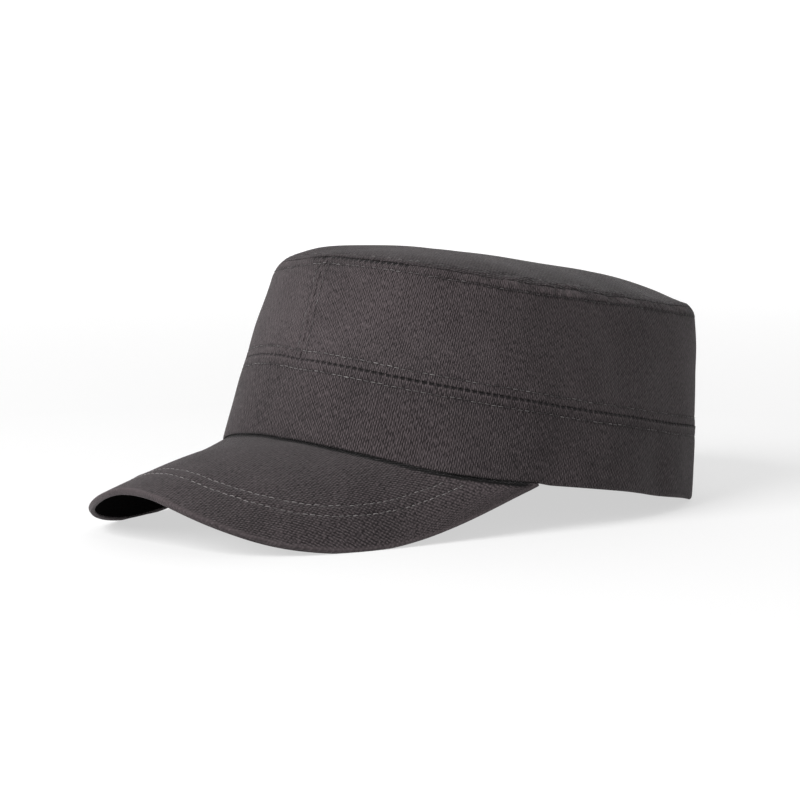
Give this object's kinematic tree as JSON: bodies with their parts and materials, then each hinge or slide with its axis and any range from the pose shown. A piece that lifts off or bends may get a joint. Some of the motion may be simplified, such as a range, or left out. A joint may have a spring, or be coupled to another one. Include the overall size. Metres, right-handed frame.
{
  "type": "patrol cap",
  "caption": "Soft cloth cap with a flat domed top, an upright crown over a sewn band, and a curved front peak of two cloth layers.",
  "frame": {"origin": "on the surface that the cap stands on, under the middle of its bounding box", "axes": "front towards -Y, the wearer's left towards +X, up +Z"},
  "size_m": [0.1674, 0.2834, 0.1052],
  "materials": {
    "twill_cloth": "matt cotton twill",
    "peak_lining_cloth": "matt cotton cloth"
  },
  "bodies": {
    "root": {"band": "twill_cloth", "crown_side_left": "twill_cloth", "crown_side_right": "twill_cloth", "crown_top": "twill_cloth", "peak_upper": "twill_cloth", "peak_under": "peak_lining_cloth"}
  },
  "joints": []
}
